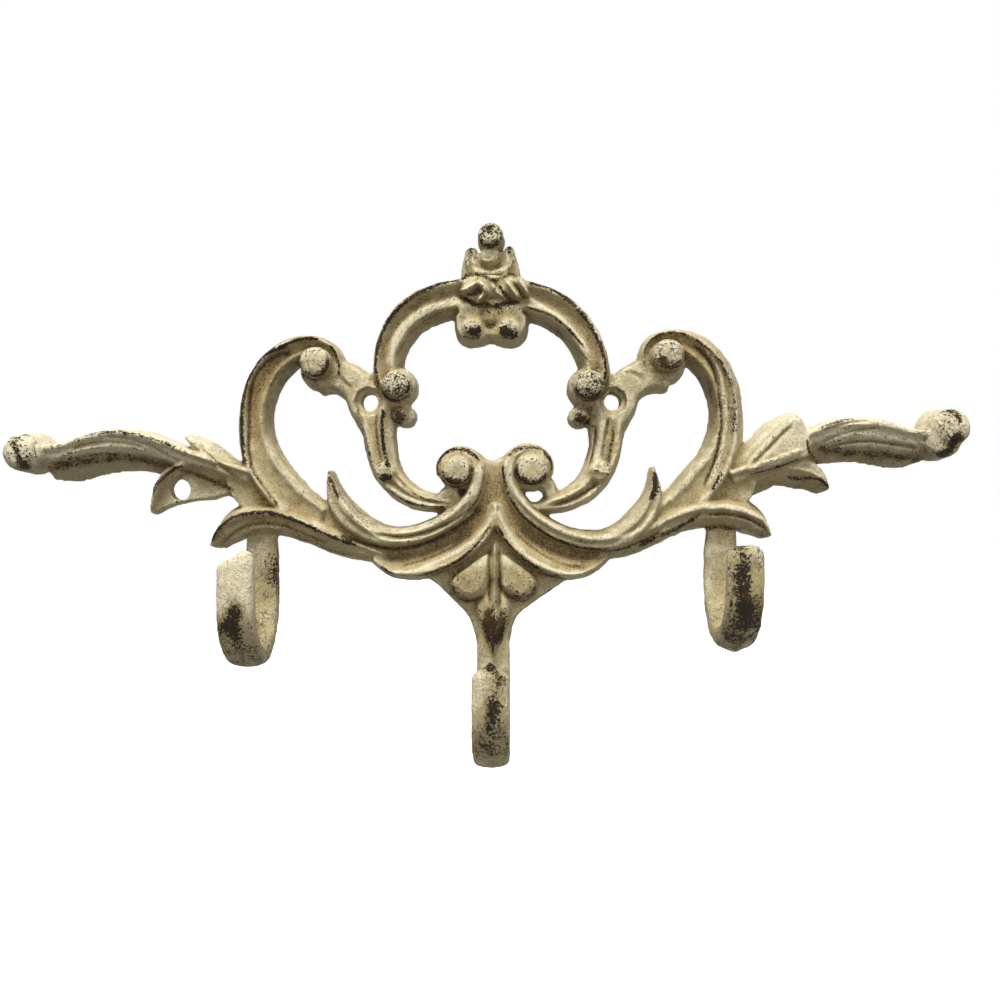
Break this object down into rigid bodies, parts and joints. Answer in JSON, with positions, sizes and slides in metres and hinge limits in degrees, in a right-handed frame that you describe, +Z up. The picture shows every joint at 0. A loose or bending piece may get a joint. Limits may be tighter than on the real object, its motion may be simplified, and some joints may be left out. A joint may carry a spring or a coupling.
{
  "type": "wall coat hook rack",
  "caption": "Scrolled cast iron wall rack with side arms, a leaf finial, screw holes and J-shaped coat hooks.",
  "frame": {"origin": "midway between the two screw holes, on the flat back plane that lies on the wall", "axes": "+X to the right along the wall as seen from the front, +Z up, and the front faces -Y"},
  "size_m": [0.3179, 0.0464, 0.1762],
  "materials": {
    "painted_iron": "distressed cream paint over cast iron"
  },
  "bodies": {
    "root": {"casting": "painted_iron"}
  },
  "joints": []
}
